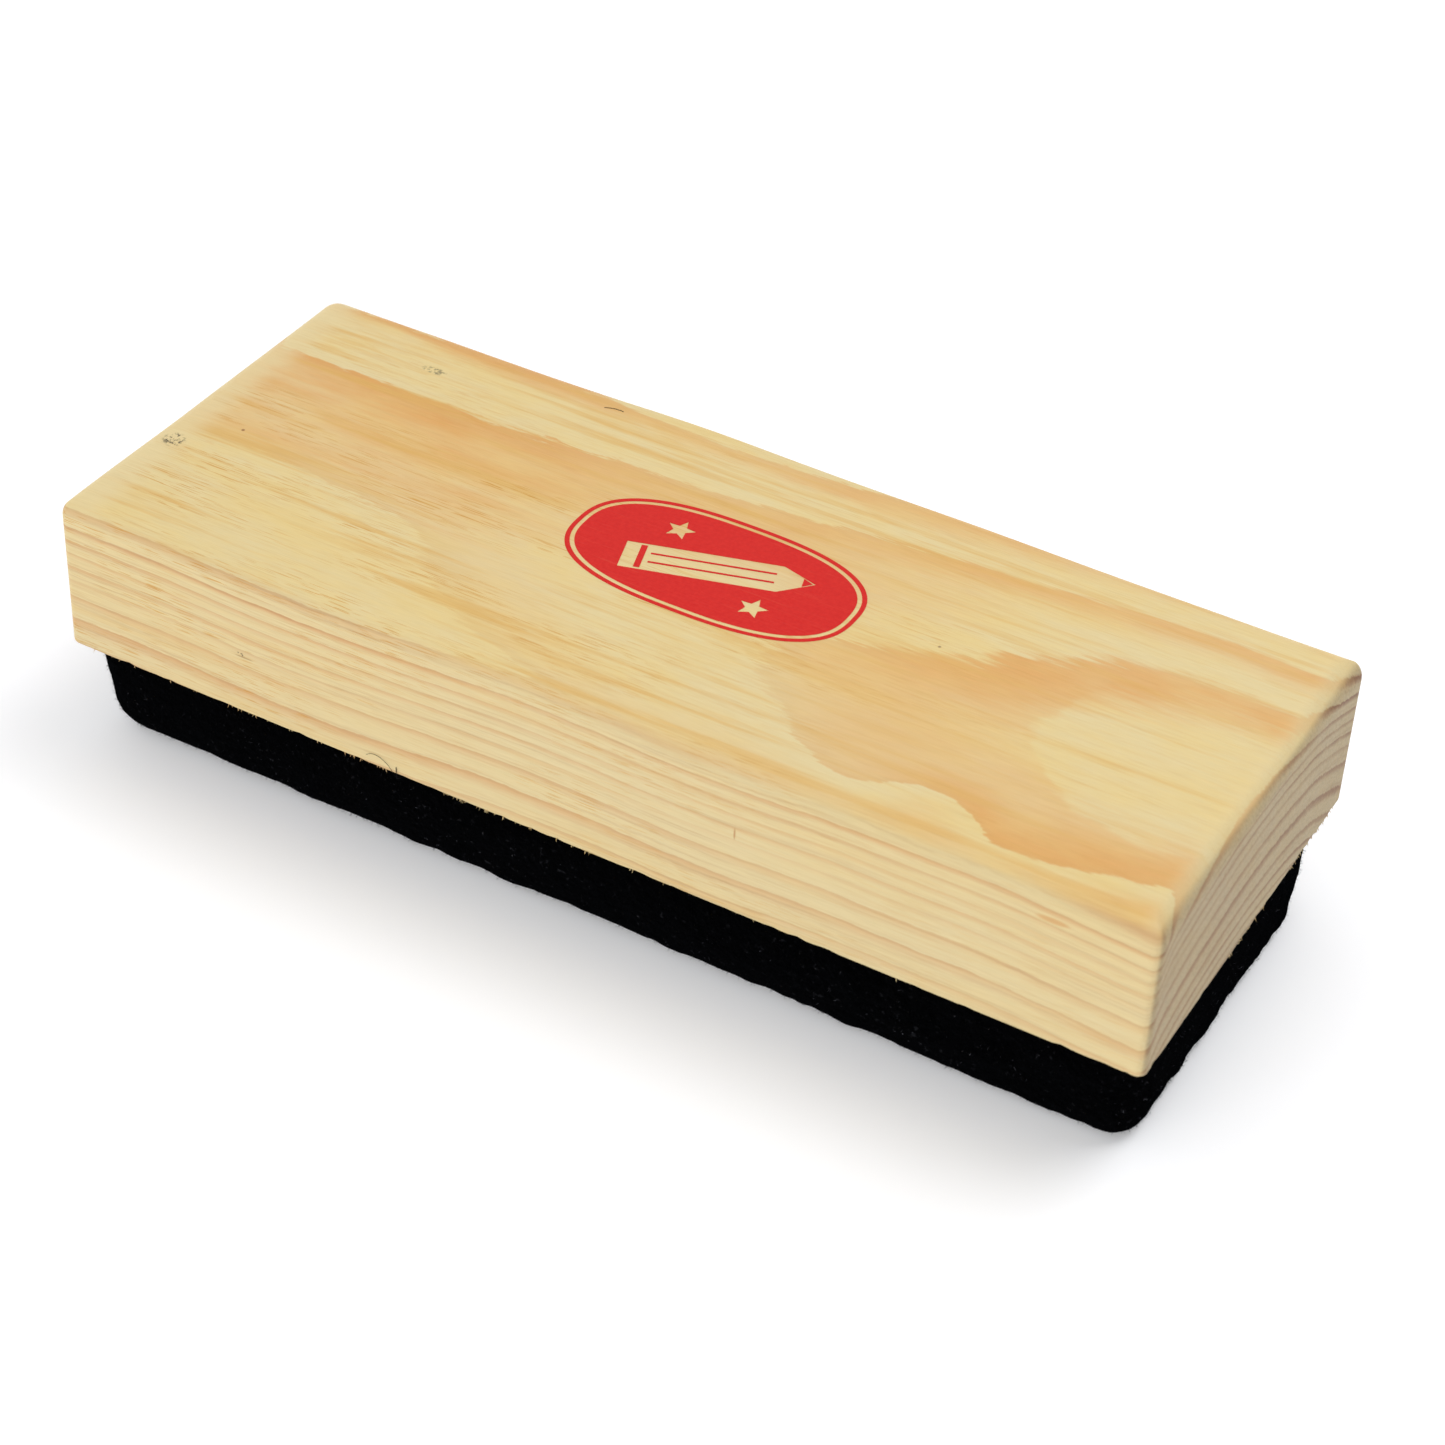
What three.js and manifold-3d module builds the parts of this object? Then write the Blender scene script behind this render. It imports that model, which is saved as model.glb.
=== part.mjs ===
// A wooden-handled chalkboard eraser, in millimetres.
//
// A planed pine block is the handle. Under it sits a soft wiping pad: a foam core with a black felt
// cover wrapped round it. The cover's edges turn in over the back of the foam as a hem, which a ring of
// glue holds down, and one film of glue fastens the finished pad to the underside of the block.
//
// The origin is the middle of the felt's wiping face. +X runs along the eraser, +Y across it, away from
// the person who holds it, and +Z points up, from the felt to the top of the block.
import * as THREE from "three";
import { mergeVertices } from "three/addons/utils/BufferGeometryUtils.js";
import Module from "manifold-3d";

const wasm = await Module();
wasm.setup();

// Block
const BLOCK_LENGTH = 150;
const BLOCK_WIDTH = 59;
const BLOCK_HEIGHT = 22;
const BLOCK_CORNER_RADIUS = 1.2; // upright corners
const BLOCK_TOP_RADIUS = 2.6; // edges round the top face, sanded to a soft hand grip
const BLOCK_FOOT_RADIUS = 0.5; // edges round the underside, only just eased

// Pad
const PAD_HEIGHT = 14.2;
const PAD_END_INSET = 0.6; // from each end of the block, at the top of the pad
const PAD_SIDE_INSET = 2.2; // from each long side of the block, at the top of the pad
const PAD_TAPER = 0.6; // how much further in each side is by the bottom of the pad
const PAD_CORNER_RADIUS = 5;
const PAD_FACE_RADIUS = 4.2; // edge round the wiping face, where the felt turns up over the foam
const FELT_THICKNESS = 1.6;
const HEM_WIDTH = 10; // from the outside of the cover to the edge of the felt behind the foam

// Glue
const GLUE_THICKNESS = 0.3;
const GLUE_EDGE = 2; // bare margin between a glue film and the edge of what it glues
const SEAT_GAP = 0.05; // left between any two pieces that touch

// Facets on each quarter turn of a rounded corner or edge
const CORNER_FACETS = 8;
const EDGE_FACETS = 6;

const BLOCK_BOTTOM = PAD_HEIGHT + GLUE_THICKNESS + 2 * SEAT_GAP;
const PAD_LENGTH = BLOCK_LENGTH - 2 * PAD_END_INSET;
const PAD_WIDTH = BLOCK_WIDTH - 2 * PAD_SIDE_INSET;
const HEM_UNDERSIDE = PAD_HEIGHT - FELT_THICKNESS;
const FOAM_SHOULDER = HEM_UNDERSIDE - GLUE_THICKNESS - 2 * SEAT_GAP;

const PINE = new THREE.MeshStandardMaterial({ color: 0xe6c88e, roughness: 0.55, metalness: 0 });
const BLACK_FELT = new THREE.MeshStandardMaterial({ color: 0x0b0b0e, roughness: 1, metalness: 0 });
const GREY_FOAM = new THREE.MeshStandardMaterial({ color: 0x6f7175, roughness: 0.95, metalness: 0 });
const DRY_GLUE = new THREE.MeshStandardMaterial({ color: 0xd8c27a, roughness: 0.35, metalness: 0 });

// Turns a closed three.js geometry into a solid that can be cut and joined.
function solidOf(geometry) {
  const bare = geometry.clone();
  bare.deleteAttribute("normal");
  bare.deleteAttribute("uv");
  const merged = mergeVertices(bare, 1e-4);
  return new wasm.Manifold(
    new wasm.Mesh({
      numProp: 3,
      vertProperties: new Float32Array(merged.attributes.position.array),
      triVerts: new Uint32Array(merged.index.array),
    }),
  );
}

// Turns a cut solid back into a three.js geometry.
function geometryOf(solid) {
  const mesh = solid.getMesh();
  const geometry = new THREE.BufferGeometry();
  geometry.setAttribute("position", new THREE.BufferAttribute(mesh.vertProperties, mesh.numProp));
  geometry.setIndex(new THREE.BufferAttribute(mesh.triVerts, 1));
  geometry.computeVertexNormals();
  return geometry;
}

// A rectangle centred on the origin, with rounded corners: the two at the top can differ from the two
// at the bottom.
function roundedRectangle(width, height, topRadius, bottomRadius = topRadius) {
  const outline = new THREE.Shape();
  const corner = (side, end, radius, quarter) => {
    const x = side * (width / 2 - radius);
    const y = end * (height / 2 - radius);
    outline.absarc(x, y, radius, (quarter * Math.PI) / 2, ((quarter + 1) * Math.PI) / 2);
  };
  corner(1, 1, topRadius, 0);
  corner(-1, 1, topRadius, 1);
  corner(-1, -1, bottomRadius, 2);
  corner(1, -1, bottomRadius, 3);
  return outline;
}

// A plain slab with upright sides, from z = bottom to z = top.
function slab(length, width, cornerRadius, bottom, top) {
  const geometry = new THREE.ExtrudeGeometry(roundedRectangle(length, width, cornerRadius), {
    depth: top - bottom,
    bevelEnabled: false,
    curveSegments: CORNER_FACETS,
  });
  geometry.translate(0, 0, bottom);
  return geometry;
}

// A slab whose edges, round its top and round its bottom, are rounded too.
function easedSlab(length, width, cornerRadius, edgeRadius, bottom, top) {
  const inner = roundedRectangle(
    length - 2 * edgeRadius,
    width - 2 * edgeRadius,
    cornerRadius - edgeRadius,
  );
  const geometry = new THREE.ExtrudeGeometry(inner, {
    depth: top - bottom - 2 * edgeRadius,
    bevelThickness: edgeRadius,
    bevelSize: edgeRadius,
    bevelSegments: EDGE_FACETS,
    curveSegments: CORNER_FACETS,
  });
  geometry.translate(0, 0, bottom + edgeRadius);
  return geometry;
}

// The pad's outside shape moved inwards by a depth: flat on top, rounded round the wiping face, and a
// little narrower at the bottom than at the top.
function padEnvelope(depth, top) {
  const bottom = depth;
  const length = PAD_LENGTH - 2 * depth;
  const width = PAD_WIDTH - 2 * depth;
  const edge = PAD_FACE_RADIUS - depth;
  const corner = PAD_CORNER_RADIUS - depth;
  const cutAway = 2 * edge; // extra height that takes the rounded top edge out of the pad
  const geometry = easedSlab(length, width, corner, edge, bottom, top + cutAway);
  taper(geometry, length, width);
  const above = new THREE.BoxGeometry(2 * length, 2 * width, 2 * cutAway);
  above.translate(0, 0, top + cutAway);
  return solidOf(geometry).subtract(solidOf(above));
}

// Draws the sides of a pad shape in, from nothing at the top of the pad to the full taper at z = 0.
function taper(geometry, length, width) {
  const place = geometry.attributes.position;
  for (let i = 0; i < place.count; i++) {
    const inwards = PAD_TAPER * (1 - place.getZ(i) / PAD_HEIGHT);
    place.setX(i, place.getX(i) * (1 - (2 * inwards) / length));
    place.setY(i, place.getY(i) * (1 - (2 * inwards) / width));
  }
}

// The opening that the hem leaves behind the foam.
function hemWindow(margin, bottom, top) {
  const inset = HEM_WIDTH + margin;
  return slab(PAD_LENGTH - 2 * inset, PAD_WIDTH - 2 * inset, 1, bottom, top);
}

// A long bar with the block's upright section: soft round edges above and crisp ones below. It lies
// along Y, and is longer than the block.
function blockBar(width) {
  const section = roundedRectangle(width, BLOCK_HEIGHT, BLOCK_TOP_RADIUS, BLOCK_FOOT_RADIUS);
  const run = 2 * BLOCK_LENGTH;
  const geometry = new THREE.ExtrudeGeometry(section, {
    depth: run,
    bevelEnabled: false,
    curveSegments: EDGE_FACETS,
  });
  geometry.translate(0, 0, -run / 2);
  geometry.rotateX(Math.PI / 2);
  geometry.translate(0, 0, BLOCK_BOTTOM + BLOCK_HEIGHT / 2);
  return geometry;
}

// Pine handle: what is common to a bar rounded along the block, a bar rounded across it, and an upright
// slab with rounded corners.
function handleBlock() {
  const across = solidOf(blockBar(BLOCK_LENGTH));
  const along = solidOf(blockBar(BLOCK_WIDTH).rotateZ(Math.PI / 2));
  const upright = slab(
    BLOCK_LENGTH,
    BLOCK_WIDTH,
    BLOCK_CORNER_RADIUS,
    BLOCK_BOTTOM - BLOCK_HEIGHT,
    BLOCK_BOTTOM + 2 * BLOCK_HEIGHT,
  );
  return geometryOf(along.intersect(across).intersect(solidOf(upright)));
}

// Felt cover: wiping face, four sides and the hem, in one piece of cloth.
function feltCover() {
  const inside = padEnvelope(FELT_THICKNESS, HEM_UNDERSIDE);
  const opening = solidOf(hemWindow(0, FOAM_SHOULDER, PAD_HEIGHT + 1));
  return geometryOf(padEnvelope(0, PAD_HEIGHT).subtract(inside).subtract(opening));
}

// Foam core: fills the cover, and stands up through the hem's opening to meet the block.
function foamCore() {
  const body = padEnvelope(FELT_THICKNESS + SEAT_GAP, FOAM_SHOULDER);
  const raised = solidOf(hemWindow(SEAT_GAP + GLUE_THICKNESS, FOAM_SHOULDER - 1, PAD_HEIGHT));
  return geometryOf(body.add(raised));
}

// Ring of glue between the foam's shoulder and the underside of the hem.
function hemGlue() {
  const bottom = FOAM_SHOULDER + SEAT_GAP;
  const top = bottom + GLUE_THICKNESS;
  const inset = FELT_THICKNESS + GLUE_EDGE;
  const corner = PAD_CORNER_RADIUS - inset;
  const outer = slab(PAD_LENGTH - 2 * inset, PAD_WIDTH - 2 * inset, corner, bottom, top);
  const hole = hemWindow(-GLUE_EDGE, bottom - 1, top + 1);
  return geometryOf(solidOf(outer).subtract(solidOf(hole)));
}

// Film of glue between the back of the pad and the underside of the block.
function blockGlue() {
  const bottom = PAD_HEIGHT + SEAT_GAP;
  const length = PAD_LENGTH - 2 * GLUE_EDGE;
  const width = PAD_WIDTH - 2 * GLUE_EDGE;
  return slab(length, width, PAD_CORNER_RADIUS - GLUE_EDGE, bottom, bottom + GLUE_THICKNESS);
}

function piece(name, geometry, material) {
  const mesh = new THREE.Mesh(geometry, material);
  mesh.name = name;
  return mesh;
}

const pad = new THREE.Group();
pad.add(
  piece("felt_cover", feltCover(), BLACK_FELT),
  piece("foam_core", foamCore(), GREY_FOAM),
  piece("hem_glue", hemGlue(), DRY_GLUE),
);

const eraser = new THREE.Group();
eraser.add(
  pad,
  piece("block_glue", blockGlue(), DRY_GLUE),
  piece("handle_block", handleBlock(), PINE),
);

export default eraser;
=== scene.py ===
"""A wooden chalkboard eraser: a flat-sawn pine block on a black felt pad, on a pale studio floor.

Everything is in metres, in the CAD model's frame: +X along the eraser, +Y across it and away from the
camera, +Z up, with the felt's wiping face on z = 0. Names that end in _MM hold millimetres, and so do the
places and pitches in the materials.
"""

import math

import bpy
import numpy as np
from mathutils import Matrix, Vector, noise


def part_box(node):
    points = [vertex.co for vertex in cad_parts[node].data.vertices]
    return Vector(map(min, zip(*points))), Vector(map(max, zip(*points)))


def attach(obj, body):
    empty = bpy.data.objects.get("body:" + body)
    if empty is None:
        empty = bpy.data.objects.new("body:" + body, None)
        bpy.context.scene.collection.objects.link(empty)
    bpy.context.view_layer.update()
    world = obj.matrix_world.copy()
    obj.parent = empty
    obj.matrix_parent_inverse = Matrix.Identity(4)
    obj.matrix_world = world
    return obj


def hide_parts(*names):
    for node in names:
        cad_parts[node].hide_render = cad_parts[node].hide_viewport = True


MM = 0.001

# Pine block
TOP_RADIUS = 2.6 * MM
FOOT_RADIUS = 0.5 * MM
UPRIGHT_RADIUS = 1.2 * MM
WORN_RADIUS = 2.8 * MM  # of the upright corner at the back left
SANDING_WANDER = 0.22  # how much the sanded radius varies along the edges, as a share of it
SANDING_PITCH = 28 * MM  # how far apart it varies
NICK_DEPTH = 0.28 * MM  # of the nicks along the lower edges
BLOCK_CORE = 3.6 * MM  # depth of the rim that holds every rounded edge
BLOCK_STEPS = 0.28 * MM, 1.1 * MM  # of the block's mesh, in that rim and in between

# Growth rings, as cylinders about a crooked pith that lies below the block
RING_MM = 2.35  # mean width of a ring
PITH_DEPTH_MM = 86.0  # below the top of the block

# Felt pad
FELT_THICKNESS = 1.5 * MM
PAD_STEP = 1.4 * MM  # grid of the cloth before it is simulated
PAD_CORE = 5.5 * MM  # depth of the rim that holds every rounded edge of the pad
PAD_CORNER_RADIUS = 4.2 * MM
PAD_CORNER_DRAW = 2.0 * MM  # how much rounder the corners are at the wiping face
PAD_SLACK_CORNER = 4.8 * MM  # how much rounder the corner at the back right is
PAD_FACE_RADIUS = 3.9 * MM
PAD_LEFT_SLACK = 1.4 * MM, 0.7 * MM  # added to draw and face radius at the left, taken off at the right
PAD_RIM_RADIUS = 1.0 * MM  # fold of the hem at the top of the pad
PAD_TAPER = 0.6 * MM
PAD_GLUED_DEPTH = 1.2 * MM  # of the top of the cover, which the block holds still
PAD_FRAMES = 20
SWELL_CAP = 0.9 * MM
PAD_LUMPS = (0.17 * MM, 5.0 * MM), (0.08 * MM, 1.5 * MM)  # height and pitch of the felt's lumps
HEM_WIDTH = 10.0 * MM
FOAM_GAP = 0.25 * MM
FOAM_STEPS = 0.75 * MM, 1.6 * MM  # of the foam's mesh, near its edges and in between
SEAT_GAP = 0.05 * MM  # between the foam's shoulder and the glue on it

# Loose fibres
FUZZ_SIDES, FUZZ_FACE = 15000, 9000  # how many there are
FUZZ_LENGTHS = 0.35 * MM, 0.85 * MM
FUZZ_RADIUS = 0.016 * MM
HAIR_RADIUS = 0.06 * MM

# Printed emblem, about its own middle
EMBLEM_CENTRE_MM = (0.6, 2.2)
EMBLEM_HALF_MM = (19.6, 10.4)
EMBLEM_LIFT = 0.012 * MM
INK_THICKNESS = 0.02 * MM

# Camera, as a place on a sphere round its aim
CAMERA_AZIMUTH = math.radians(28.2)
CAMERA_ELEVATION = math.radians(38.3)
CAMERA_ROLL = math.radians(-2.8)
CAMERA_DISTANCE = 427.7 * MM
CAMERA_SHIFT = (3.0 * MM, -9.2 * MM)  # aim's place right of and above the block's centre, in the view
CAMERA_LENS_MM = 86.36
CAMERA_SENSOR_MM = 36.0
CAMERA_FSTOP = 40

# Studio
FLOOR_GAP = 0.02 * MM  # keeps the felt's flat face off the floor's
FLOOR_GLOW = 0.26
SKY_BRIGHT = 0.85
SKY_DARK = 0.08  # beyond the right end
SKY_DARK_SIDE = (0.97, 0.0, 0.2)
SKY_DARK_REACH = 0.35, 0.8  # cosines of the angles from there where it starts and where it is full
LAMPS = (  # name, place, aim, size and power
    ("overhead", (0.42, 0.4, 1.1), (0, 0, 0), 0.7, 6.0),
    ("front", (-0.3, -1.2, 0.35), (0, 0, 0.02), 0.8, 3.3),
)


# ---------------------------------------------------------------- mesh helpers


def scene_object(name, data):
    """A new object, linked to the scene."""
    piece = bpy.data.objects.new(name, data)
    bpy.context.scene.collection.objects.link(piece)
    return piece


def mesh_object(name, points, faces):
    """A new object with a smooth mesh."""
    mesh = bpy.data.meshes.new(name)
    mesh.from_pydata([tuple(p) for p in points], [], faces)
    mesh.update()
    mesh.polygons.foreach_set("use_smooth", [True] * len(mesh.polygons))
    return scene_object(name, mesh)


def curve_to_mesh(curve):
    """A new mesh object with a curve's shape and name."""
    holder = scene_object("curve", curve)
    view = bpy.context.evaluated_depsgraph_get()
    mesh = bpy.data.meshes.new_from_object(holder.evaluated_get(view))
    bpy.data.objects.remove(holder)
    mesh.materials.clear()
    return scene_object(curve.name, mesh)


def dress(piece, material, stands_for=None):
    """Gives a piece its material and slot, fixes it to the body, and hides the CAD node it stands for."""
    piece.data.materials.append(material)
    if stands_for:
        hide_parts(stands_for)
    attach(piece, "root")


def points_of(mesh):
    """A mesh's points as an array with one row each."""
    flat = np.empty(len(mesh.vertices) * 3)
    mesh.vertices.foreach_get("co", flat)
    return flat.reshape(-1, 3)


def normals_of(mesh):
    """A mesh's point normals as an array with one row each."""
    flat = np.empty(len(mesh.vertices) * 3)
    mesh.vertex_normals.foreach_get("vector", flat)
    return flat.reshape(-1, 3)


def set_points(mesh, points):
    """Moves a mesh's points to the rows of an array."""
    mesh.vertices.foreach_set("co", points.reshape(-1))
    mesh.update()


def unit(vectors):
    """Each row, made one long."""
    return vectors / np.maximum(np.linalg.norm(vectors, axis=1, keepdims=True), 1e-12)


def wander(points, pitch, seed=0):
    """Smooth noise from about -1 to 1 at each point. pitch is its size in metres, one number or three."""
    scaled = points / np.broadcast_to(pitch, 3) + 37.1 * seed
    return np.array([noise.noise(Vector(p)) for p in scaled]) * 1.6


def stations(low, high, rim, fine, coarse):
    """Places from low to high: close together within rim of each end, and wider in between."""
    edge = np.linspace(0, rim, round(rim / fine), endpoint=False)
    count = max(2, round((high - low - 2 * rim) / coarse) + 1)
    middle = np.linspace(low + rim, high - rim, count)
    return np.concatenate([low + edge, middle, (high - edge)[::-1]])


def box_grid(xs, ys, zs):
    """Points and quads of a closed box with grid lines at the given places, and its faces outwards."""
    points, quads = [], []

    def side(us, vs, place, flip):
        grid = np.array([[place(u, v) for v in vs] for u in us])
        start = sum(len(p) for p in points)
        number = start + np.arange(len(us) * len(vs)).reshape(len(us), len(vs))
        corners = [number[:-1, :-1], number[1:, :-1], number[1:, 1:], number[:-1, 1:]]
        loop = np.stack(corners[::-1] if flip else corners, -1).reshape(-1, 4)
        points.append(grid.reshape(-1, 3))
        quads.append(loop)

    side(xs, ys, lambda u, v: (u, v, zs[-1]), False)
    side(xs, ys, lambda u, v: (u, v, zs[0]), True)
    side(xs, zs, lambda u, v: (u, ys[0], v), False)
    side(xs, zs, lambda u, v: (u, ys[-1], v), True)
    side(ys, zs, lambda u, v: (xs[-1], u, v), False)
    side(ys, zs, lambda u, v: (xs[0], u, v), True)
    keys = np.round(np.concatenate(points) / 1e-7).astype(np.int64)
    _, first, back = np.unique(keys, axis=0, return_index=True, return_inverse=True)
    return np.concatenate(points)[first], back.reshape(-1)[np.concatenate(quads)]


def centred_box(name):
    """The middle of a node's box in plan, and the box's corners about it, at their true heights."""
    low, high = (np.array(corner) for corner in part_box(name))
    middle = (low + high) / 2 * (1, 1, 0)
    return middle, low - middle, high - middle


def rounded_join(a, b, radius):
    """Signed distance to the corner between two half spaces, rounded to a radius."""
    outside = np.hypot(np.maximum(a + radius, 0), np.maximum(b + radius, 0))
    return outside + np.minimum(np.maximum(a, b) + radius, 0) - radius


def plan_distance(points, half_length, half_width, radius):
    """Signed distance, seen from above, to a rectangle about the origin with rounded corners."""
    x = np.abs(points[:, 0]) - half_length
    y = np.abs(points[:, 1]) - half_width
    return rounded_join(x, y, radius)


def fit_to(points, core_low, core_high, solid):
    """Slides each point along the line from the nearest place in a core box until it lies on solid."""
    root = np.clip(points, core_low, core_high)
    near, far = np.zeros(len(points)), np.full(len(points), 1.4)
    for _ in range(40):
        middle = (near + far) / 2
        inside = solid(root + (points - root) * middle[:, None]) < 0
        near, far = np.where(inside, middle, near), np.where(inside, far, middle)
    return root + (points - root) * near[:, None]


# ---------------------------------------------------------------- material helpers


class Shader:
    """A new node material, with short ways to add and join its nodes."""

    def __init__(self, name):
        self.material = bpy.data.materials.new(name)
        self.material.use_nodes = True
        self.tree = self.material.node_tree
        self.surface = self.tree.nodes["Principled BSDF"]

    def add(self, kind, *inputs, **settings):
        """A node, with its first inputs set or joined in order."""
        node = self.tree.nodes.new("ShaderNode" + kind)
        for key, value in settings.items():
            setattr(node, key, value)
        for slot, value in enumerate(inputs):
            self.join(value, node.inputs[slot])
        return node

    def join(self, value, socket):
        """Links a node's output to a socket, or sets the socket to a plain value."""
        if isinstance(value, bpy.types.NodeSocket):
            self.tree.links.new(value, socket)
        elif value is not None:
            socket.default_value = value

    def math(self, operation, *inputs):
        return self.add("Math", *inputs, operation=operation).outputs[0]

    def sum(self, first, *rest):
        for value in rest:
            first = self.math("ADD", first, value)
        return first

    def times(self, a, b):
        return self.math("MULTIPLY", a, b)

    def rest(self, value):
        """What is left of one when the value is taken away."""
        return self.math("SUBTRACT", 1.0, value)

    def linear(self, value, low, high, start, end):
        """A straight ramp from start, at low, to end, at high, and level beyond both."""
        return self.add("MapRange", value, low, high, start, end).outputs[0]

    def smooth(self, value, low, high, start=0.0, end=1.0):
        """A smooth step from start, at low, to end, at high."""
        node = self.add("MapRange", value, low, high, start, end, interpolation_type="SMOOTHSTEP")
        return node.outputs[0]

    def hill(self, value, centre, reach):
        """A smooth hill: one at the centre, and nothing beyond its reach."""
        away = self.math("ABSOLUTE", self.math("SUBTRACT", value, centre))
        return self.smooth(away, reach, 0.0)

    def position_mm(self):
        """The point's place in the CAD frame, in millimetres."""
        place = self.add("TexCoord").outputs["Object"]
        node = self.add("VectorMath", place, operation="SCALE")
        node.inputs["Scale"].default_value = 1 / MM
        return node.outputs[0]

    def split(self, vector):
        return self.add("SeparateXYZ", vector).outputs

    def stretched(self, vector, pitches):
        """The place divided by a pitch on each axis, so that noise of scale 1 has those sizes."""
        node = self.add("VectorMath", vector, operation="MULTIPLY")
        node.inputs[1].default_value = [1 / p for p in pitches]
        return node.outputs[0]

    def away(self, vector, centre, reach):
        """How far the place is from a centre, as a share of a reach on each axis."""
        offset = self.add("VectorMath", vector, centre, operation="SUBTRACT").outputs[0]
        return self.add("VectorMath", self.stretched(offset, reach), operation="LENGTH").outputs["Value"]

    def noise(self, vector, pitches, detail=2.0, roughness=0.5, shift=0.0):
        """Noise about zero, mostly from -1 to 1, with a size in millimetres on each axis."""
        place = self.stretched(vector, pitches)
        if shift:
            place = self.add("VectorMath", place, (shift, shift, shift), operation="ADD").outputs[0]
        node = self.add("TexNoise", place)
        node.inputs["Scale"].default_value = 1.0
        node.inputs["Detail"].default_value = detail
        node.inputs["Roughness"].default_value = roughness
        return self.add("MapRange", node.outputs["Fac"], 0.25, 0.75, -1.0, 1.0, clamp=False).outputs[0]

    def mix(self, factor, a, b, blend="MIX"):
        node = self.add("Mix", data_type="RGBA", blend_type=blend)
        self.join(factor, node.inputs["Factor"])
        self.join(a, node.inputs[6])
        self.join(b, node.inputs[7])
        return node.outputs[2]

    def bump(self, height, distance, strength=1.0, under=None):
        node = self.add("Bump")
        node.inputs["Strength"].default_value = strength
        node.inputs["Distance"].default_value = distance
        self.join(height, node.inputs["Height"])
        if under is not None:
            self.join(under, node.inputs["Normal"])
        return node.outputs[0]

    def finish(self, colour, roughness, normal=None, **others):
        self.join(colour, self.surface.inputs["Base Color"])
        self.join(roughness, self.surface.inputs["Roughness"])
        if normal is not None:
            self.join(normal, self.surface.inputs["Normal"])
        for key, value in others.items():
            self.join(value, self.surface.inputs[key.replace("_", " ")])
        return self.material


def tint(red, green, blue):
    """A colour given as an sRGB byte triple, for a node."""

    def linear(byte):
        share = byte / 255
        return share / 12.92 if share <= 0.04045 else ((share + 0.055) / 1.055) ** 2.4

    return (linear(red), linear(green), linear(blue), 1.0)


# ---------------------------------------------------------------- materials


def pine_rings(shader, place):
    """Ring number at each point: it grows outwards from the pith, and is whole at each ring's edge."""
    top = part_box("handle_block")[1].z / MM
    x, y, z = shader.split(place)

    # the pith sways sideways along the block, so the rings do too, and it rises from left to right
    pith_y = shader.sum(shader.smooth(x, -50.0, 15.0, 3.0, -9.5), shader.smooth(x, 25.0, 80.0, 0.0, 6.5))
    across = shader.math("SUBTRACT", y, pith_y)
    height = shader.math("ADD", z, PITH_DEPTH_MM - top)
    radius = shader.math("SQRT", shader.sum(shader.times(across, across), shader.times(height, height)))
    rings = shader.math("MULTIPLY_ADD", radius, 1 / RING_MM, -PITH_DEPTH_MM / RING_MM)
    rings = shader.math("ADD", rings, shader.smooth(x, -45.0, 70.0, 0.75, -0.68))

    # they lie flatter at the front and the back, crowd towards both edges, and rise in a knob at the right
    flat_left = shader.times(shader.smooth(x, 25.0, -65.0, 0.0, -2.4), shader.smooth(y, -8.0, -40.0))
    flat_right = shader.times(shader.hill(x, 50.0, 42.0), shader.smooth(y, -12.0, -24.0, 0.0, -0.4))
    flat_back = shader.times(shader.hill(x, 18.0, 72.0), shader.smooth(y, 2.0, 22.0, 0.0, -1.1))
    knob = shader.times(shader.hill(x, 43.5, 11.5), shader.hill(y, -24.0, 8.0))
    close_front = shader.times(shader.smooth(x, -15.0, 30.0, 0.0, 0.8), shader.smooth(y, -25.5, -30.5))
    close_back = shader.smooth(y, 14.0, 28.0, 0.0, 0.3)
    rings = shader.sum(rings, flat_left, flat_right, flat_back)
    rings = shader.sum(rings, shader.times(knob, 0.55), close_front, close_back)

    # good years and lean years
    years = shader.math("MULTIPLY_ADD", rings, math.pi / 4, 0.9 * math.pi)
    rings = shader.math("ADD", rings, shader.math("MULTIPLY_ADD", shader.math("COSINE", years), -0.45, -0.45))

    slow = shader.times(shader.noise(place, (50, 18, 14), 1.0, shift=3.0), 0.05)
    wavy = shader.times(shader.noise(place, (16, 5, 6), 2.0, shift=11.0), 0.055)
    ragged = shader.noise(place, (4.0, 0.45, 1.2), 3.0, 0.6, shift=5.0)
    torn = shader.noise(place, (13.0, 0.5, 1.5), 3.0, 0.6, shift=7.0)
    back_right = shader.times(shader.smooth(y, -12.0, 4.0), shader.smooth(x, -20.0, 20.0))
    torn = shader.times(torn, shader.times(back_right, 0.06))
    return shader.sum(rings, slow, wavy, shader.times(ragged, 0.045), torn)


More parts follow.
